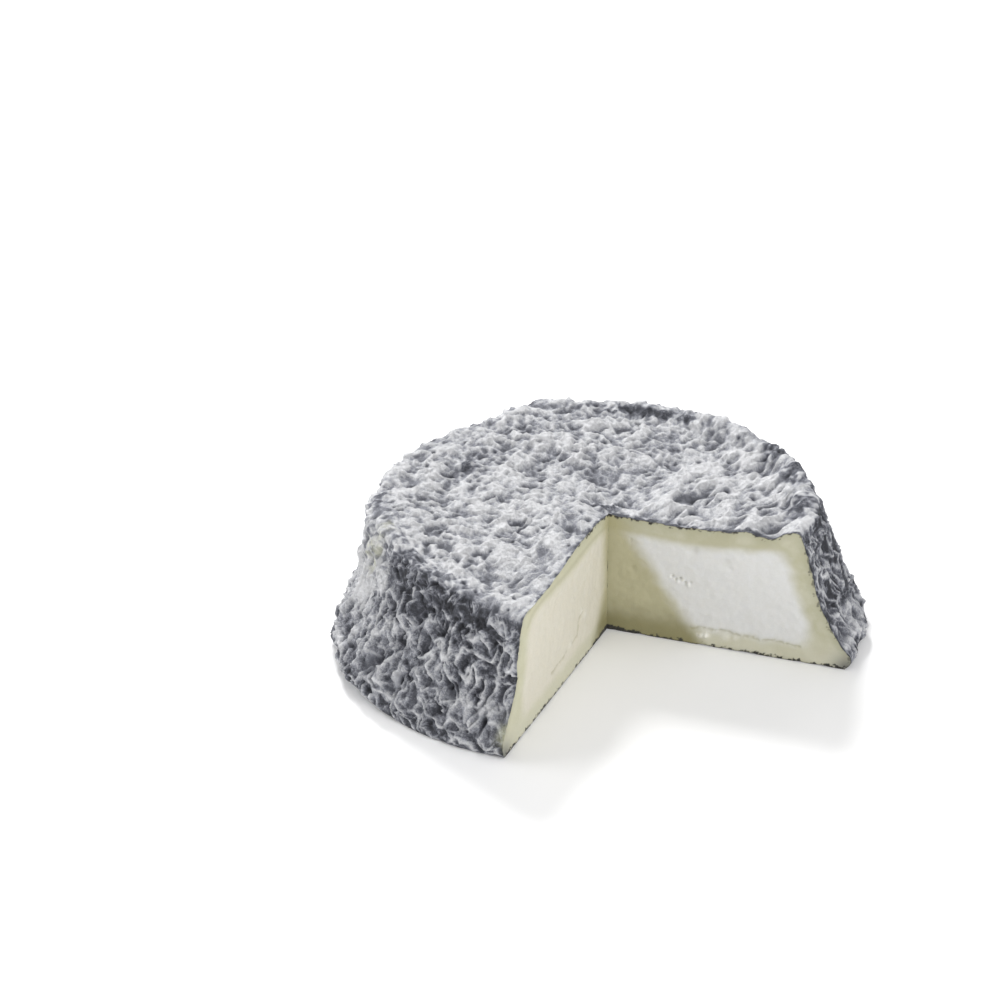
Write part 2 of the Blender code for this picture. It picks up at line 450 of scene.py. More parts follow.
def cut_out_skin():
    """The skin before it is laid on the body: a flat fan, whose rings are runs past its hub."""
    top_rings = round(RIM_RUN / TOP_STEP)
    side_rings = round((FOOT_RUN - RIM_RUN) / SIDE_STEP)
    under_rings = round(CONTACT / UNDERSIDE_STEP)
    rings = [
        *np.linspace(0.0, RIM_RUN, top_rings, endpoint=False),
        *np.linspace(RIM_RUN, FOOT_RUN, side_rings, endpoint=False),
        *np.linspace(FOOT_RUN, FOOT_RUN + CONTACT, under_rings),
    ]
    skin = bmesh.new()
    chain = [skin.verts.new((HUB + run, 0.0, 0.0)) for run in rings]
    spoke = [skin.edges.new(pair) for pair in zip(chain, chain[1:])]
    bmesh.ops.spin(
        skin,
        geom=chain + spoke,
        cent=(0, 0, 0),
        axis=(0, 0, 1),
        angle=math.radians(SWEEP),
        steps=COARSE_SPOKES,
        use_merge=False,
    )
    for limit in DOUBLINGS:
        ring_edges = []
        for edge in skin.edges:
            near, far = (vertex.co.length - HUB for vertex in edge.verts)
            one_ring = abs(near - far) < SAME_RING
            if one_ring and min(near, far) > limit and near < FOOT_RUN + 2 * SAME_RING:
                ring_edges.append(edge)
        bmesh.ops.subdivide_edges(skin, edges=ring_edges, cuts=1)
    return skin


def laid_on_body(run, turn):
    """Where a point of the skin lies on the turned body: run along the section, turn of its spoke.

    The spokes fan out from the cut corner, and from the inner ring on they end on the body's
    own circles.
    """
    under = run > FOOT_RUN
    radius = np.where(under, CONTACT - (run - FOOT_RUN), np.interp(run, RUN, RADIUS))
    radius = np.maximum(radius, 0.0)
    way = np.stack([np.cos(turn), np.sin(turn)], axis=1)
    ring = np.maximum(radius, INNER_RING)
    across = way @ CUT_CORNER
    reach = -across + np.sqrt(across * across + ring * ring - CUT_CORNER @ CUT_CORNER)
    reach = reach * np.minimum(1.0, radius / INNER_RING)
    plan = CUT_CORNER + way * reach[:, None]
    distance = np.hypot(plan[:, 0], plan[:, 1])
    dish = np.interp(distance, RADIUS[: CREST + 1], HEIGHT[: CREST + 1])
    height = np.where(run < RIM_RUN - DISH_MARGIN, dish, np.interp(run, RUN, HEIGHT))
    height = np.where(under, 0.0, height)
    return np.column_stack([plan, height])


def set_places(mesh, points):
    mesh.vertices.foreach_set("co", np.asarray(points, dtype=np.float32).ravel())
    mesh.update()


def read_places(mesh):
    places = np.empty(len(mesh.vertices) * 3, dtype=np.float32)
    mesh.vertices.foreach_get("co", places)
    return places.reshape(-1, 3).astype(float)


def vertex_normals(mesh):
    normals = np.empty(len(mesh.vertices) * 3, dtype=np.float32)
    mesh.vertex_normals.foreach_get("vector", normals)
    return normals.reshape(-1, 3).astype(float)


def add_masks(mesh, masks):
    for name, values in masks.items():
        mask = mesh.attributes.new(name, "FLOAT", "POINT")
        mask.data.foreach_set("value", np.asarray(values, dtype=np.float32))


def read_mask(mesh, name):
    values = np.empty(len(mesh.vertices), dtype=np.float32)
    mesh.attributes[name].data.foreach_get("value", values)
    return values


def along_cut(points, degrees):
    """How far along a knife cut from the corner, and how far off its plane, each point lies."""
    angle = math.radians(degrees)
    from_corner = points[:, :2] - CUT_CORNER
    along = from_corner @ np.array([math.cos(angle), math.sin(angle)])
    off = from_corner @ np.array([-math.sin(angle), math.cos(angle)])
    return along, off


def beside_cut(points, degrees, half_width, start=0.0):
    """1 on a knife cut and 0 away from it, from a start on along the cut."""
    along, off = along_cut(points, degrees)
    return np.where(along > start, hill(off, half_width), 0.0)


def straighten_cuts(points, run, turn):
    """Brings the skin's two cut edges back into the planes of the cuts, and eases it near them."""
    points = points.copy()
    for degrees, edge, side in ((RIGHT_CUT, turn.min(), 1.0), (LEFT_CUT, turn.max(), -1.0)):
        angle = math.radians(degrees)
        along, off = along_cut(points, degrees)
        on_edge = np.abs(turn - edge) < SAME_TURN
        order = np.argsort(run[on_edge])
        stray = np.interp(run, run[on_edge][order], off[on_edge][order])
        gap = np.maximum(0.0, side * (off - stray))
        ease = np.where(along > -1.0, np.clip(1.0 - gap / EDGE_BLEND, 0.0, 1.0), 0.0)
        across = np.array([-math.sin(angle), math.cos(angle)])
        points[:, :2] -= (ease * stray)[:, None] * across
    return points


def bare_ash(points, plan):
    """How much of the bloom is missing, 0 to about 1: at rim, shoulder, foot, cuts and patches."""
    radius = np.hypot(points[:, 0], points[:, 1])
    angle = np.arctan2(points[:, 1], points[:, 0])
    crest = RIM_CREST[0] + waves(RIM_WAVES, angle)
    inside_back_rim = facing(angle, BACK_RIM, BARE_SPREAD) * hill(radius - crest + 1.8, 1.7)
    fall = RIM_CREST[1] - points[:, 2]
    shoulder = smooth_step(fall, -0.8, 1.6) * (1 - smooth_step(fall, 3.5, 9.0))
    shoulder = shoulder * (radius > crest - 1.5)
    foot = 1 - smooth_step(points[:, 2], 0.3, 1.6)
    bare = np.maximum(0.9 * inside_back_rim, 0.6 * foot)
    bare = np.maximum(bare, (0.2 + 0.6 * facing(angle, FRONT_SHOULDER, BARE_SPREAD)) * shoulder)
    for degrees, strength, half_width in BARE_AT_CUTS:
        bare = np.maximum(bare, strength * beside_cut(points, degrees, half_width, start=-1.0))
    for x, y, half_width, strength in BARE_PATCHES:
        distance = np.hypot(points[:, 0] - x, points[:, 1] - y)
        bare = np.maximum(bare, strength * hill(distance, half_width))
    mottle = layered(plan, (1.0, 2.2, 201), (0.8, 0.9, 203))
    return smooth_step(bare + 0.75 * mottle, 0.3, 0.8) * np.minimum(1.0, 1.6 * bare)


def skin_mesh():
    """The skin laid on the body: its mesh, its places in millimetres, and their run and turn."""
    skin = cut_out_skin()
    flat = np.array([vertex.co for vertex in skin.verts])
    run = np.hypot(flat[:, 0], flat[:, 1]) - HUB
    turn = np.remainder(np.arctan2(flat[:, 1], flat[:, 0]) + NUDGE, math.tau)
    turn = turn + math.radians(RIGHT_CUT)
    base = out_of_round(laid_on_body(run, turn))
    mesh = bpy.data.meshes.new("rind")
    bmesh.ops.recalc_face_normals(skin, faces=skin.faces)
    skin.to_mesh(mesh)
    skin.free()
    set_places(mesh, base)
    on_top = np.abs(run - 5.0) < 1.0
    if vertex_normals(mesh)[on_top, 2].mean() < 0:
        mesh.flip_normals()
    return mesh, base, run, turn


def coarse_relief(base, upward, above):
    """The solid's own folds, lumps and crooked ridges in millimetres, and the lumps alone."""
    folds = per_point(lambda place: noise.noise(place / FOLD_SIZE), base, above > 0)
    rounded = per_point(lumps, base, (upward > 0) & (above > 0))
    crooked = per_point(cells, base, (upward < 1) & (above > 0))
    on_top = upward * LUMP_HEIGHT * rounded
    on_side = (1 - upward) * CELL_HEIGHT * (crooked - 0.5)
    return FOLD_HEIGHT * folds + on_top + on_side, rounded


def frosted(angle, height):
    """1 on the frosted part of the side, and 0 elsewhere."""
    leftward = -np.degrees(turned(angle, FROST_DIRECTION))
    band = smooth_step(leftward, *FROST_STARTS) * (1 - smooth_step(leftward, *FROST_ENDS))
    return band * smooth_step(height, *FROST_LIFTS)


def marked_side(angle, height, plane):
    """The side's own marks: their push in millimetres, light on the lumps, and dark in the cups,
    partly bare ash and partly painted shade.
    """
    push, light, dark = np.zeros((3, len(angle)))
    wander = 0.6 * soft(plane, size=1.6, draw=221)
    for degrees, middle, half_width, size in SIDE_MARKS:
        aside = turned(angle, degrees) * SHOULDER[0] + wander
        mark = hill(np.hypot(aside, 0.7 * (height - middle)), half_width)
        push += size * mark
        light += 0.5 * max(size, 0.0) * mark
        dark = np.maximum(dark, -size * mark)
    return push, light, dark


def yellow_stain(base, angle, plane, run):
    """1 in the stains on the shoulder and above the foot, and 0 elsewhere."""
    stain = facing(angle, STAIN_DIRECTION, 3.6) * hill(base[:, 2] - STAIN_HEIGHT, 3.8)
    stain = stain * (run > RIM_RUN - 1.0)
    stain = stain * np.clip(0.6 + 1.8 * soft(plane, size=1.8, draw=241), 0, 1)
    foot_stain = beside_cut(base, LEFT_CUT, 1.3) * hill(base[:, 2] - FOOT_STAIN_HEIGHT, 2.2)
    return np.maximum(stain, FOOT_STAIN_STRENGTH * foot_stain * (run > RIM_RUN))


def uneven_foot(points, run):
    """Small gaps between the foot's edge and the board, in millimetres."""
    near_edge = hill(run - FOOT_RUN, 2.5)
    for degrees in (RIGHT_CUT, LEFT_CUT):
        near_edge = np.maximum(near_edge, beside_cut(points, degrees, 2.0, start=1.0))
    bumps = np.maximum(0.0, layered(points[:, :2], (1.0, 2.6, 211), (0.5, 1.1, 213)))
    return FOOT_GAP * near_edge * bumps * (1 - smooth_step(points[:, 2], 0.0, 1.5))


def shaped_rind():
    """The whole rind as one mesh: places in millimetres, each one's run and turn, and the masks."""
    mesh, base, run, turn = skin_mesh()
    normals = vertex_normals(mesh)
    upward = smooth_step(normals[:, 2], 0.35, 0.85)
    topward = smooth_step(normals[:, 2], 0.3, 0.6)
    sideward = 1 - smooth_step(normals[:, 2], 0.6, 0.9)
    above = smooth_step(base[:, 2], 0.0, 2.0)
    under = run > FOOT_RUN
    angle = np.arctan2(base[:, 1], base[:, 0])
    plan = base[:, :2]
    plane = np.stack([np.remainder(angle, math.tau) * SHOULDER[0], run], axis=1)
    frost = frosted(angle, base[:, 2])
    crumpled = hill(run - RIM_RUN - 2.5, 3.6)
    calm = 1 - 0.5 * hill(run - RIM_RUN, 3.0)

    coarse, rounded = coarse_relief(base, upward, above)
    wrinkles = top_wrinkles(plan)
    pits = pinholes(plan) * topward
    top_fine = 0.5 * TOP_FINE_HEIGHT * (wrinkles - 0.1) - PIT_DEPTH * pits
    side_fine, side_bloom, crest = side_wrinkles(plane, crumpled, frost)
    push, light, dark = marked_side(angle, base[:, 2], plane)
    side_fine = side_fine * (1 - 0.45 * facing(angle, CALM_SIDE, 40)) + push
    near_cut = np.maximum(*(beside_cut(base, cut, PRESS_WIDTH) for cut in (RIGHT_CUT, LEFT_CUT)))
    pressed = 1 - CUT_PRESS * near_cut
    lifted = above * pressed * (coarse + calm * (topward * top_fine + sideward * side_fine))
    sideways = np.stack([normals[:, 1], -normals[:, 0], np.zeros(len(normals))], axis=1)
    lean = above * calm * sideward * (1 - frost) * SIDE_LEAN * side_fine
    points = base + normals * lifted[:, None] + sideways * lean[:, None]
    points[:, 2] += uneven_foot(base, run)
    points = straighten_cuts(points, run, turn)
    for pole in (run < SAME_RUN, run > run.max() - SAME_RUN):
        points[pole] = points[pole].mean(axis=0)

    top_bloom = 0.66 + 0.55 * wrinkles + 0.45 * rounded
    side_bloom = side_bloom + light - 0.07 * facing(angle, CALM_SIDE, 45)
    under_bloom = 0.36 + 0.35 * soft(twisted(plan, size=6.0, reach=1.5, draw=231), 4.5, draw=235)
    under_bloom = under_bloom + 0.3 * soft(plan, size=2.2, draw=237)
    side_bloom = np.where(under, under_bloom, side_bloom)
    flat = (upward > 0.5) | under
    bare = bare_ash(base, np.where(flat[:, None], plan, plane))
    masks = {
        "bloom": np.clip(upward * top_bloom + (1 - upward) * side_bloom, 0, 1),
        # The deep cups darken as bare ash and painted shade, the deeper the darker
        "bare": np.maximum(bare, 0.8 * smooth_step(dark, 0.3, 0.8)),
        "crest": np.where(under, 0.0, crest * sideward),
        "pit": pits,
        "upward": upward,
        "stain": yellow_stain(base, angle, plane, run),
    }
    return mesh, points, run, turn, masks


def add_piece(mesh, name, material):
    mesh.materials.append(material)
    piece = bpy.data.objects.new(name, mesh)
    bpy.context.scene.collection.objects.link(piece)
    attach(piece, "root")
    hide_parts("cheese")
    return piece


def in_row_frame(points):
    return points * MM + np.array([AXIS[0] * MM, AXIS[1] * MM, 0.0])


def rind_piece(mesh, masks, keep, name, material):
    """Copies the kept faces of the rind into a piece, with shading that runs on across seams."""
    part = mesh.copy()
    part.name = name
    add_masks(part, masks)
    axes = ("normal_x", "normal_y", "normal_z")
    add_masks(part, dict(zip(axes, vertex_normals(mesh).T)))
    shape = bmesh.new()
    shape.from_mesh(part)
    shape.faces.ensure_lookup_table()
    drop = [shape.faces[index] for index in np.flatnonzero(~keep)]
    bmesh.ops.delete(shape, geom=drop, context="FACES")
    bmesh.ops.remove_doubles(shape, verts=shape.verts, dist=0.0001 * MM)
    shape.to_mesh(part)
    shape.free()
    part.shade_smooth()
    smooth = np.stack([read_mask(part, axis) for axis in axes], axis=1)
    part.normals_split_custom_set_from_vertices(smooth.tolist())
    for axis in axes:
        part.attributes.remove(part.attributes[axis])
    return add_piece(part, name, material)


def make_rind(material):
    """The rind in six stretches of its run, each a piece under the limit of triangles."""
    mesh, points, run, turn, masks = shaped_rind()
    set_places(mesh, in_row_frame(points))
    corners = np.empty(len(mesh.loops), dtype=np.int32)
    mesh.loops.foreach_get("vertex_index", corners)
    starts = np.empty(len(mesh.polygons), dtype=np.int32)
    mesh.polygons.foreach_get("loop_start", starts)
    face_run = np.add.reduceat(run[corners], starts) / np.diff(np.append(starts, len(corners)))
    third = (FOOT_RUN - RIM_RUN) / 3
    names = ("rind_top", "rind_rim", "rind_shoulder", "rind_side", "rind_foot", "rind_underside")
    splits = (0.0, TOP_SPLIT, RIM_RUN, RIM_RUN + third, RIM_RUN + 2 * third, FOOT_RUN, math.inf)
    for name, low, high in zip(names, splits, splits[1:]):
        rind_piece(mesh, masks, (face_run >= low) & (face_run < high), name, material)
    bpy.data.meshes.remove(mesh)
    return points, run, turn


# The cut paste, in millimetres along the cut from the corner and up from the board
CREAM_TOP = 3.7
CREAM_SIDE = 4.6
CREAM_BASE = 4.1
CREAM_BLEND = 3.5
CORE_LIMIT = 40.7
PASTE_ROWS = 110
BORDER = 0.9
BORDER_SHARE = 0.05
CREASE_WIDTH = 0.3
CREASE_DEPTH = 0.15
# How many points of the cut edge, to each side, its smoothed lines are averaged over
BORDER_SMOOTHING = 14
CREAM_SMOOTHING = 24

# The small marks of each cut face: hollows and crumbs (along, height, half width, size), and
# the path of each crease
RIGHT_MARKS = {
    "hollows": (
        (11.9, 13.4, 0.25, 0.35),
        (12.5, 12.9, 0.25, 0.45),
        (13.3, 13.2, 0.28, 0.5),
        (14.2, 12.5, 0.25, 0.4),
        (15.2, 12.7, 0.22, 0.25),
        (15.8, 19.4, 0.8, 0.3),
        (21.5, 18.0, 0.9, 0.25),
        (4.5, 13.7, 0.6, 0.2),
        (22.3, 16.9, 0.5, 0.15),
        (4.1, 19.6, 0.3, 0.2),
        (20.6, 3.9, 0.2, 0.2),
    ),
    "crumbs": (
        (12.9, 12.5, 0.3, 0.2),
        (13.9, 12.9, 0.28, 0.2),
        (14.8, 12.2, 0.32, 0.2),
        (11.4, 13.1, 0.25, 0.15),
        (18.2, 2.3, 0.6, 0.45),
        (17.3, 2.0, 0.4, 0.3),
        (21.9, 2.5, 0.7, 0.15),
        (23.7, 2.7, 0.5, 0.12),
    ),
    "creases": (((15.5, 3.1), (17.3, 3.7), (20.9, 3.8), (25.5, 3.4), (31.9, 3.4), (35.4, 3.2)),),
}
LEFT_MARKS = {
    "hollows": (
        (14.7, 15.6, 0.3, 0.25),
        (26.0, 15.0, 1.2, 0.1),
    ),
    "crumbs": (
        (11.6, 10.6, 0.5, 0.2),
        (10.0, 9.0, 0.6, 0.15),
        (16.5, 6.6, 0.5, 0.15),
    ),
    "creases": (
        ((24.6, 5.4), (21.4, 5.4), (18.0, 6.0)),
        ((15.4, 6.4), (13.2, 6.5), (12.8, 9.0), (11.1, 10.1)),
    ),
}


def right_painted_shade_edge(height):
    """How far along the right cut the painted olive shadow of the left block, over partly riper
    paste, reaches at a height.
    """
    return 4.1 + 0.68 * (19.9 - height)


def left_painted_shade_edge(height):
    """How far along the left cut the painted olive shade of the inner corner, over partly riper
    paste, reaches at a height.
    """
    return 1.6 + 0.5 * np.maximum(0.0, 9.0 - height)


def smoothed(values, reach):
    """Running average over the reach on both sides."""
    padded = np.pad(values, reach, mode="edge")
    return np.convolve(padded, np.ones(2 * reach + 1) / (2 * reach + 1), mode="valid")


def distance_to_path(along, height, path):
    """Distance of each point of the cut face to a path of straight stretches."""
    nearest = np.full(len(along), np.inf)
    for (x0, z0), (x1, z1) in zip(path, path[1:]):
        length = math.hypot(x1 - x0, z1 - z0)
        share = ((along - x0) * (x1 - x0) + (height - z0) * (z1 - z0)) / length**2
        share = np.clip(share, 0, 1)
        gap = np.hypot(along - x0 - share * (x1 - x0), height - z0 - share * (z1 - z0))
        nearest = np.minimum(nearest, gap)
    return nearest


def cut_sheet(rind, edge_turn, degrees):
    """The bare sheet of a cut face, and the rind's cut edge over it, with its way along the cut.

    The sheet hangs from the rind's cut edge down to the underside's, as a grid of vertices.
    """
    points, run, turn = rind
    on_edge = np.flatnonzero(np.abs(turn - edge_turn) < SAME_TURN)
    order = on_edge[np.argsort(run[on_edge])]
    upper = points[order[run[order] <= FOOT_RUN + NUDGE]]
    lower = points[order[run[order] >= FOOT_RUN - NUDGE]][::-1]
    upper_along = along_cut(upper, degrees)[0]
    lower_along = along_cut(lower, degrees)[0]
    way = np.concatenate([[0.0], np.cumsum(np.linalg.norm(np.diff(upper, axis=0), axis=1))])
    target = lower_along.max() * way / way[-1]
    foot = np.column_stack([np.interp(target, lower_along, lower[:, axis]) for axis in range(3)])
    inner = np.stack([smoothed(upper[:, axis], BORDER_SMOOTHING) for axis in range(3)], axis=1)
    down = foot - inner
    inner = inner + down * np.minimum(1.0, BORDER / np.linalg.norm(down, axis=1))[:, None]
    inner[0] = upper[0] + (inner[0] - upper[0]) * (0.0, 0.0, 1.0)
    inner[-1] = foot[-1]
    sheet = bmesh.new()
    chain = [sheet.verts.new((float(column), 0.0, 0.0)) for column in range(len(upper))]
    edges = [sheet.edges.new(pair) for pair in zip(chain, chain[1:])]
    bmesh.ops.extrude_edge_only(sheet, edges=edges)
    hanging = []
    for vertex in chain:
        for edge in vertex.link_edges:
            other = edge.other_vert(vertex)
            if other.co == vertex.co:
                other.co.y = 1.0
                hanging.append(edge)
    bmesh.ops.subdivide_edges(sheet, edges=hanging, cuts=PASTE_ROWS)
    flat = np.array([vertex.co for vertex in sheet.verts])
    column = np.rint(flat[:, 0]).astype(int)
    near = np.minimum(1.0, flat[:, 1] / BORDER_SHARE)[:, None]
    far = np.maximum(0.0, (flat[:, 1] - BORDER_SHARE) / (1 - BORDER_SHARE))[:, None]
    places = upper[column] + near * (inner - upper)[column] + far * (foot - inner)[column]
    for vertex, place in zip(sheet.verts, places):
        vertex.co = place
    return sheet, upper, upper_along


def rind_over(along, height, upper, upper_along, smoothing):
    """The height of the top's cut edge over each point, and how far along the side's edge is."""
    crest = int(upper[:, 2].argmax())
    top_way = np.maximum.accumulate(upper_along[:crest])
    side_way = np.maximum.accumulate(-upper[crest:, 2])
    top = np.interp(along, top_way, smoothed(upper[:crest, 2], smoothing))
    side = np.interp(-height, side_way, smoothed(upper_along[crest:], smoothing))
    return top, side


def paste_masks(along, height, upper, upper_along, wander, ragged, painted_shade_edge, warm_lit_face):
    """Where a cut face is core, cream, painted olive shade over partly riper paste, or rind, and
    each point's gap to the edge.
    """
    top, side = rind_over(along, height, upper, upper_along, smoothing=0)
    from_top, from_side = top - height, side - along
    nearest_rind = np.minimum(from_top, from_side)
    edge_gap = np.minimum(nearest_rind, height)
    top, side = rind_over(along, height, upper, upper_along, CREAM_SMOOTHING)
    soft_top, soft_side = top - height, np.minimum(side, CORE_LIMIT) - along
    cream_top = CREAM_TOP * (1 + 0.25 * hill(along - 17.0, 9.0))
    zones = np.stack([soft_top / cream_top, soft_side / CREAM_SIDE, height / CREAM_BASE])
    blended = np.exp(-CREAM_BLEND * np.maximum(zones, 0)).sum(axis=0)
    depth = -np.log(blended) / CREAM_BLEND
    crust_width = 0.08 + 1.0 * ragged + 1.3 * hill(along, 2.0) * hill(height, 1.5)
    crust_width += 0.45 * hill(height, 1.0) * (hill(along - 3.0, 7.0) + hill(along - 42.0, 4.0))
    crust = 1 - smooth_step(edge_gap - np.maximum(crust_width, 0.02), -0.15, 0.2)
    at_side = (from_side < from_top) & (from_side < height)
    foot_corner = np.hypot(along - upper_along.max() + 0.6, 0.9 * height)
    masks = {
        "core": smooth_step(depth + 0.1 * wander, 0.5, 1.15),
        "crust": np.where(at_side, (0.6 - 0.4 * warm_lit_face) * crust, crust),
        # The olive zone by the inner corner is painted shade, on the right face a cast shadow, over
        # partly riper paste
        "shade_and_ripe": smooth_step(painted_shade_edge(height) - along + 0.8 * wander, -2.6, 2.2),
        "streak": hill(depth - 0.62, 0.12) * (soft_top / CREAM_TOP < 1.2),
        "foot_corner": hill(foot_corner, 2.7),
        "rind_gap": np.minimum(nearest_rind, 2.0 * height + 0.6),
        "low": 1 - smooth_step(height + 0.8 * wander, 1.5, 8.0),
        # 1 on the left face, whose core and cream take painted warm light
        "warm_lit": np.full(len(along), warm_lit_face),
    }
    return masks, edge_gap


def small_marks(along, height, marks, wander, ragged):
    """A cut face's hollows, crumbs and creases: push in millimetres, painted shade in the creases
    and deeper hollows, and white crumbs.
    """
    push, dark, white = np.zeros((3, len(along)))
    for path in marks["creases"]:
        line = hill(distance_to_path(along, height + 0.35 * wander, path), CREASE_WIDTH)
        dark = np.maximum(dark, line * smooth_step(ragged, -0.7, 0.3))
    push -= CREASE_DEPTH * dark
    for x, z, half_width, size in marks["hollows"]:
        spot = hill(np.hypot(along - x, height - z), half_width)
        push -= size * spot
        # The deeper hollows get painted shade, the deeper the darker
        dark = np.maximum(dark, min(1.0, 2.5 * max(0.0, size - 0.15)) * spot)
    for x, z, half_width, size in marks["crumbs"]:
        away = np.hypot(along - x, height - z)
        push += size * hill(away, half_width) * (1 + 0.8 * ragged)
        spot = hill(away + 0.3 * ragged, half_width * 1.2)
        white = np.maximum(white, min(1.0, 3.5 * size) * spot)
    return push, dark, white


def cut_face(name, rind, edge_turn, degrees, marks, outward, painted_shade_edge, warm_lit_face, material):
    """One cut face of the paste, with its masks and its small marks."""
    sheet, upper, upper_along = cut_sheet(rind, edge_turn, degrees)
    bmesh.ops.remove_doubles(sheet, verts=sheet.verts, dist=0.0001)
    bmesh.ops.recalc_face_normals(sheet, faces=sheet.faces)
    mesh = bpy.data.meshes.new(name)
    sheet.to_mesh(mesh)
    sheet.free()
    places = read_places(mesh)
    along, height = along_cut(places, degrees)[0], places[:, 2]
    face = np.stack([along, height], axis=1)
    wander = layered(face, (1.0, 3.0, 301), (0.5, 1.2, 303))
    ragged = layered(face, (1.0, 0.9, 305), (0.5, 0.4, 307))
    masks, edge_gap = paste_masks(
        along, height, upper, upper_along, wander, ragged, painted_shade_edge, warm_lit_face
    )
    push, masks["hollow_shade"], masks["white"] = small_marks(along, height, marks, wander, ragged)
    push = (push + 0.12 * wander * masks["core"]) * smooth_step(edge_gap, 0.0, 0.6)
    angle = math.radians(degrees)
    across = np.array([-math.sin(angle), math.cos(angle), 0.0]) * outward
    set_places(mesh, in_row_frame(places + push[:, None] * across))
    if vertex_normals(mesh).mean(axis=0) @ across < 0:
        mesh.flip_normals()
    add_masks(mesh, masks)
    mesh.shade_smooth()
    return add_piece(mesh, name, material)


class Nodes:
    """Short hand for building one material's node tree."""

    def __init__(self, name):
        self.material = bpy.data.materials.new(name)
        self.material.use_nodes = True
        self.tree = self.material.node_tree
        self.shader = self.tree.nodes["Principled BSDF"]
        self.place = self.tree.nodes.new("ShaderNodeTexCoord").outputs["Object"]

    def link(self, source, socket):
        if isinstance(source, bpy.types.NodeSocket):
            self.tree.links.new(source, socket)
        else:
            socket.default_value = source

    def mask(self, name):
        node = self.tree.nodes.new("ShaderNodeAttribute")
        node.attribute_name = name
        return node.outputs["Fac"]

    def combine(self, operation, first, second=0.0):
        node = self.tree.nodes.new("ShaderNodeMath")
        node.operation = operation
        self.link(first, node.inputs[0])
        self.link(second, node.inputs[1])
        return node.outputs[0]

    def plus(self, first, second):
        return self.combine("ADD", first, second)

    def times(self, first, second):
        return self.combine("MULTIPLY", first, second)

    def rest(self, share):
        """What is left of 1 beside a share."""
        return self.combine("SUBTRACT", 1.0, share)

    def noise(self, size, detail=3.0, roughness=0.5, offset=(0.0, 0.0, 0.0), twist=0.0):
        """Noise of a size in millimetres, from 0 to 1."""
        mapping = self.tree.nodes.new("ShaderNodeMapping")
        mapping.inputs["Location"].default_value = offset
        self.link(self.place, mapping.inputs["Vector"])
        node = self.tree.nodes.new("ShaderNodeTexNoise")
        self.link(mapping.outputs[0], node.inputs["Vector"])
        node.inputs["Scale"].default_value = 1.0 / (size * MM)
        node.inputs["Detail"].default_value = detail
        node.inputs["Roughness"].default_value = roughness
        node.inputs["Distortion"].default_value = twist
        return node.outputs["Fac"]

    def spread(self, value, low, high, out_low=0.0, out_high=1.0):
        """The value's stretch from low to high, eased into the stretch from out_low to out_high."""
        node = self.tree.nodes.new("ShaderNodeMapRange")
        node.interpolation_type = "SMOOTHSTEP"
        self.link(value, node.inputs["Value"])
        node.inputs["From Min"].default_value = low
        node.inputs["From Max"].default_value = high
        node.inputs["To Min"].default_value = out_low
        node.inputs["To Max"].default_value = out_high
        return node.outputs["Result"]

    def ramp(self, value, stops):
        node = self.tree.nodes.new("ShaderNodeValToRGB")
        self.link(value, node.inputs["Fac"])
        points = node.color_ramp.elements
        while len(points) < len(stops):
            points.new(0.5)
        for point, (position, colour) in zip(points, stops):
            point.position = position
            point.color = (*colour, 1.0)
        return node.outputs["Color"]

    def mix(self, share, first, second):
        node = self.tree.nodes.new("ShaderNodeMix")
        node.data_type = "RGBA"
        self.link(share, node.inputs[0])
        for source, socket in ((first, node.inputs[6]), (second, node.inputs[7])):
            if not isinstance(source, bpy.types.NodeSocket):
                source = (*source, 1.0)
            self.link(source, socket)
        return node.outputs[2]

    def tint(self, colour, mask, strength, tinted):
        """The colour, brought towards another where a mask is 1."""
        return self.mix(self.times(self.mask(mask), strength), colour, tinted)

    def bump(self, height, distance, strength=1.0, normal=None):
        node = self.tree.nodes.new("ShaderNodeBump")
        node.inputs["Strength"].default_value = strength
        node.inputs["Distance"].default_value = distance * MM
        self.link(height, node.inputs["Height"])
        if normal is not None:
            self.link(normal, node.inputs["Normal"])
        return node.outputs[0]


ASH = (0.028, 0.029, 0.033)
DARK_GREY = (0.10, 0.104, 0.122)
MIDDLE_GREY = (0.255, 0.262, 0.290)
LIGHT_GREY = (0.47, 0.475, 0.495)
BLOOM_WHITE = (0.74, 0.74, 0.745)
STAIN_YELLOW = (0.58, 0.58, 0.38)
# The rind's greys, from no bloom to thick bloom
BLOOM_STEPS = (
    (0.0, ASH),
    (0.25, DARK_GREY),
    (0.5, MIDDLE_GREY),
    (0.75, LIGHT_GREY),
    (1.0, BLOOM_WHITE),
)


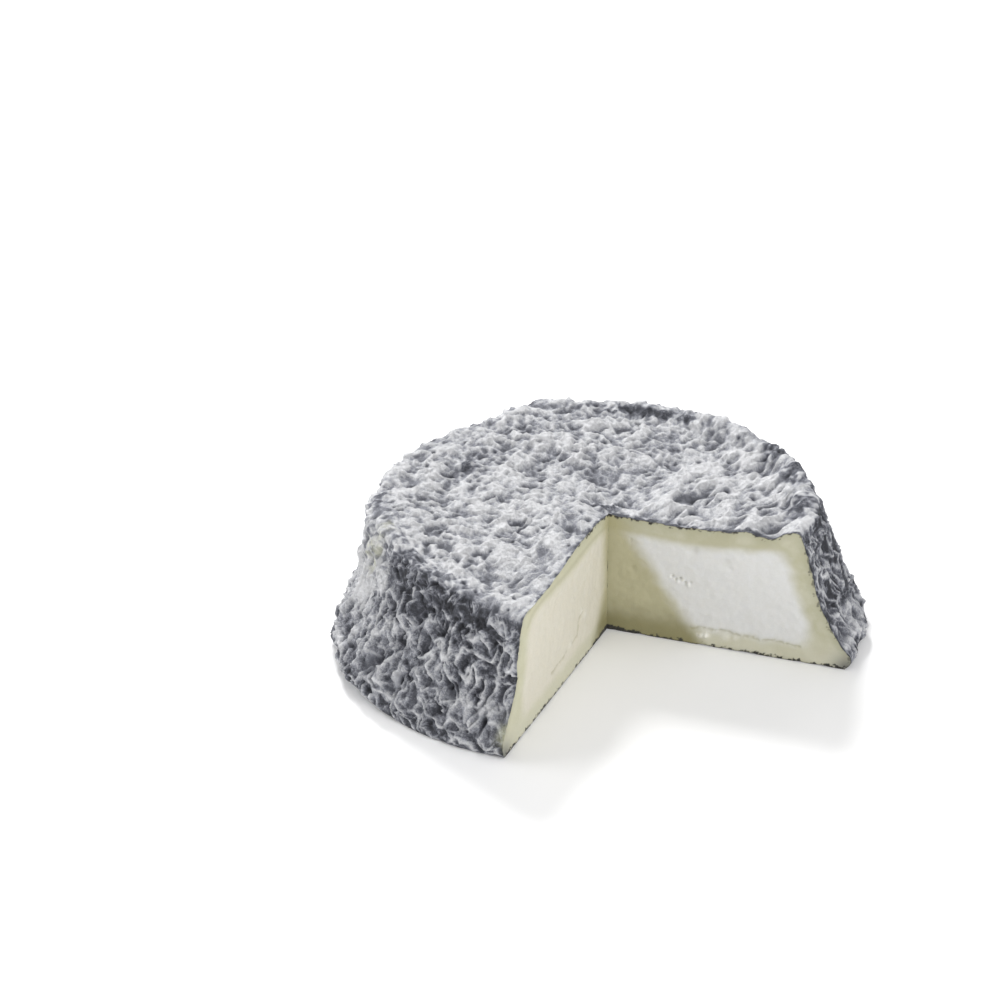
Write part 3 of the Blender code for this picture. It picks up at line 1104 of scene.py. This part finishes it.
def bloomed_ash():
    """White mould bloom over dark vegetable ash."""
    nodes = Nodes("bloomed_ash")
    speckle = nodes.noise(0.4, detail=4.0, roughness=0.7)
    blotch = nodes.noise(2.2, roughness=0.55, offset=(0.003, 0.001, 0.002))
    patch = nodes.noise(9.0, detail=2.0, offset=(0.013, 0.021, 0.002))
    strand = nodes.noise(1.0, detail=2.0, roughness=0.6, offset=(0.005, 0.009, 0.001), twist=1.2)
    strand = nodes.combine("ABSOLUTE", nodes.combine("SUBTRACT", strand, 0.5))
    strand = nodes.spread(strand, 0.0, 0.07, 1.0, 0.0)
    cover = nodes.plus(nodes.mask("bloom"), nodes.spread(speckle, 0.3, 0.7, -0.14, 0.14))
    cover = nodes.plus(cover, nodes.times(strand, 0.15))
    cover = nodes.plus(cover, nodes.spread(blotch, 0.3, 0.7, -0.12, 0.12))
    cover = nodes.plus(cover, nodes.spread(patch, 0.35, 0.65, -0.08, 0.08))
    top = nodes.spread(cover, 0.05, 1.05, 0.34, 0.87)
    side = nodes.spread(cover, -0.05, 1.05, 0.04, 0.88)
    upward = nodes.mask("upward")
    shade = nodes.plus(nodes.times(top, upward), nodes.times(side, nodes.rest(upward)))
    bare = nodes.times(nodes.mask("bare"), nodes.spread(speckle, 0.35, 0.65, 0.6, 1.0))
    bare = nodes.times(bare, nodes.rest(nodes.times(nodes.mask("crest"), 0.65)))
    shade = nodes.times(shade, nodes.rest(nodes.times(bare, 0.85)))
    shade = nodes.times(shade, nodes.rest(nodes.times(nodes.mask("pit"), 0.8)))
    stain = nodes.times(nodes.mask("stain"), nodes.spread(blotch, 0.35, 0.6, 0.1, 0.8))
    colour = nodes.mix(stain, nodes.ramp(shade, BLOOM_STEPS), STAIN_YELLOW)
    nodes.link(colour, nodes.shader.inputs["Base Color"])
    nodes.link(nodes.spread(speckle, 0.3, 0.7, 0.82, 0.95), nodes.shader.inputs["Roughness"])
    nodes.shader.inputs["Specular IOR Level"].default_value = 0.3
    fine = nodes.bump(nodes.noise(0.2, roughness=0.6), 0.04)
    fine = nodes.bump(strand, 0.15, 0.8, fine)
    nodes.link(nodes.bump(speckle, 0.12, 0.9, fine), nodes.shader.inputs["Normal"])
    return nodes.material


CORE_WHITE = (0.63, 0.63, 0.62)
# The core in painted warm light, for the left face
CORE_WARM_LIT = (0.62, 0.59, 0.50)
CREAM = (0.48, 0.47, 0.36)
# The cream in painted warm light, for the left face
CREAM_WARM_LIT = (0.54, 0.53, 0.385)
CREAM_LIGHT = (0.58, 0.565, 0.46)
CREAM_DARK = (0.41, 0.395, 0.275)
UNDER_RIND = (0.35, 0.34, 0.235)
GRAIN_BROWN = (0.30, 0.29, 0.22)
# The painted shade in creases and deeper hollows
CREASE_SHADE = (0.30, 0.28, 0.15)
CRUMB_WHITE = (0.78, 0.77, 0.72)
# The olive of the painted shade by the inner corner, over partly riper paste, deeper near the board
SHADE_OLIVE = (0.38, 0.355, 0.205)
DEEP_SHADE_OLIVE = (0.20, 0.18, 0.075)
FOOT_GREY = (0.11, 0.112, 0.11)
RIND_LINE = (0.03, 0.028, 0.024)
# How far light of each colour goes into the paste, red first, and the unit in metres
SCATTER_RADIUS = (1.0, 0.85, 0.6)
SCATTER_UNIT = 0.0015


def goat_paste():
    """Soft goat's milk paste: a white core in a riper yellowish line under the rind."""
    nodes = Nodes("goat_paste")
    cloud = nodes.noise(4.0)
    grain = nodes.noise(0.35, roughness=0.6, offset=(0.002, 0.004, 0.001))
    # The left face's core and cream take painted warm light, and its band under the rind is half as
    # strong
    warm_lit = nodes.mask("warm_lit")
    cream = nodes.mix(nodes.spread(cloud, 0.35, 0.65), CREAM, CREAM_DARK)
    cream = nodes.mix(nodes.times(warm_lit, 0.7), cream, CREAM_WARM_LIT)
    cream = nodes.tint(cream, "low", 0.5, CREAM_LIGHT)
    colour = nodes.mix(nodes.mask("core"), cream, nodes.mix(warm_lit, CORE_WHITE, CORE_WARM_LIT))
    colour = nodes.tint(colour, "streak", 0.55, CREAM_DARK)
    near_rind = nodes.spread(nodes.mask("rind_gap"), 0.2, 2.2, 0.55, 0.0)
    near_rind = nodes.times(near_rind, nodes.spread(warm_lit, 0.0, 1.0, 1.0, 0.5))
    colour = nodes.mix(near_rind, colour, UNDER_RIND)
    # Painted olive shade by the inner corner, over partly riper paste
    colour = nodes.tint(colour, "shade_and_ripe", 0.9, nodes.mix(nodes.mask("low"), SHADE_OLIVE, DEEP_SHADE_OLIVE))
    colour = nodes.tint(colour, "white", 0.8, CRUMB_WHITE)
    # Painted shade in the creases and deeper hollows
    colour = nodes.tint(colour, "hollow_shade", 0.45, CREASE_SHADE)
    colour = nodes.tint(colour, "foot_corner", 0.9, FOOT_GREY)
    colour = nodes.mix(nodes.spread(grain, 0.2, 0.8, 0.0, 0.08), colour, GRAIN_BROWN)
    colour = nodes.mix(nodes.mask("crust"), colour, RIND_LINE)
    nodes.link(colour, nodes.shader.inputs["Base Color"])
    nodes.link(nodes.spread(grain, 0.3, 0.7, 0.5, 0.65), nodes.shader.inputs["Roughness"])
    nodes.shader.inputs["Specular IOR Level"].default_value = 0.35
    nodes.shader.inputs["Subsurface Weight"].default_value = 0.2
    nodes.shader.inputs["Subsurface Radius"].default_value = SCATTER_RADIUS
    nodes.shader.inputs["Subsurface Scale"].default_value = SCATTER_UNIT
    waviness = nodes.bump(cloud, 0.25, 0.5)
    nodes.link(nodes.bump(grain, 0.05, 0.7, waviness), nodes.shader.inputs["Normal"])
    return nodes.material


# The floor lies a little below the base in millimetres, so that the two don't share a plane
FLOOR_GAP = 0.1
FLOOR_REACH = 3.0
FLOOR_COLOUR = (0.92, 0.92, 0.92, 1.0)
SKY_COLOUR = (1.0, 1.0, 1.0, 1.0)
SKY_STRENGTH = 0.62
# Round soft lamps that face the cheese: (name, place in metres, width in metres, power in watts)
LAMPS = (
    ("back_window", (-0.45, 0.70, 0.65), 0.3, 11.0),
    ("front_fill", (0.75, -0.55, 0.55), 0.6, 5.5),
    ("left_fill", (-0.95, -0.2, 0.35), 0.6, 5.0),
)
# The camera at the photo's angle: its place in metres, its tilt from straight down and its turn
# in degrees, and its lens and film width in millimetres
CAMERA_PLACE = (0.2225, -0.6313, 0.4395)
CAMERA_TILT = 58.25
CAMERA_TURN = 21.0
LENS = 160.67
FILM_WIDTH = 36.0


def floor_and_light():
    shape = bmesh.new()
    bmesh.ops.create_grid(shape, x_segments=2, y_segments=2, size=FLOOR_REACH)
    bmesh.ops.translate(shape, verts=shape.verts, vec=(0.0, 0.0, -FLOOR_GAP * MM))
    mesh = bpy.data.meshes.new("pale_floor")
    shape.to_mesh(mesh)
    shape.free()
    floor = bpy.data.objects.new("pale_floor", mesh)
    bpy.context.scene.collection.objects.link(floor)
    nodes = Nodes("pale_floor")
    nodes.shader.inputs["Base Color"].default_value = FLOOR_COLOUR
    nodes.shader.inputs["Roughness"].default_value = 0.8
    mesh.materials.append(nodes.material)
    world = bpy.data.worlds.new("studio")
    bpy.context.scene.world = world
    world.use_nodes = True
    sky = world.node_tree.nodes["Background"]
    sky.inputs["Color"].default_value = SKY_COLOUR
    sky.inputs["Strength"].default_value = SKY_STRENGTH
    for name, place, size, power in LAMPS:
        lamp = bpy.data.lights.new(name, "AREA")
        lamp.shape = "DISK"
        lamp.size = size
        lamp.energy = power
        holder = bpy.data.objects.new(name, lamp)
        holder.location = place
        holder.rotation_euler = (-Vector(place)).to_track_quat("-Z", "Y").to_euler()
        bpy.context.scene.collection.objects.link(holder)


def camera():
    lens = bpy.data.cameras.new("camera")
    lens.sensor_width = FILM_WIDTH
    lens.lens = LENS
    holder = bpy.data.objects.new("camera", lens)
    holder.location = CAMERA_PLACE
    holder.rotation_euler = (math.radians(CAMERA_TILT), 0.0, math.radians(CAMERA_TURN))
    bpy.context.scene.collection.objects.link(holder)
    bpy.context.scene.camera = holder


noise.seed_set(SEED)
rind = make_rind(bloomed_ash())
paste = goat_paste()
turns = rind[2]
cut_face(
    "paste_right",
    rind,
    edge_turn=turns.min(),
    degrees=RIGHT_CUT,
    marks=RIGHT_MARKS,
    outward=-1.0,
    painted_shade_edge=right_painted_shade_edge,
    warm_lit_face=0.0,
    material=paste,
)
cut_face(
    "paste_left",
    rind,
    edge_turn=turns.max(),
    degrees=LEFT_CUT,
    marks=LEFT_MARKS,
    outward=1.0,
    painted_shade_edge=left_painted_shade_edge,
    # The left face takes the painted warm light
    warm_lit_face=1.0,
    material=paste,
)
floor_and_light()
camera()
bpy.context.scene.view_settings.view_transform = "Standard"
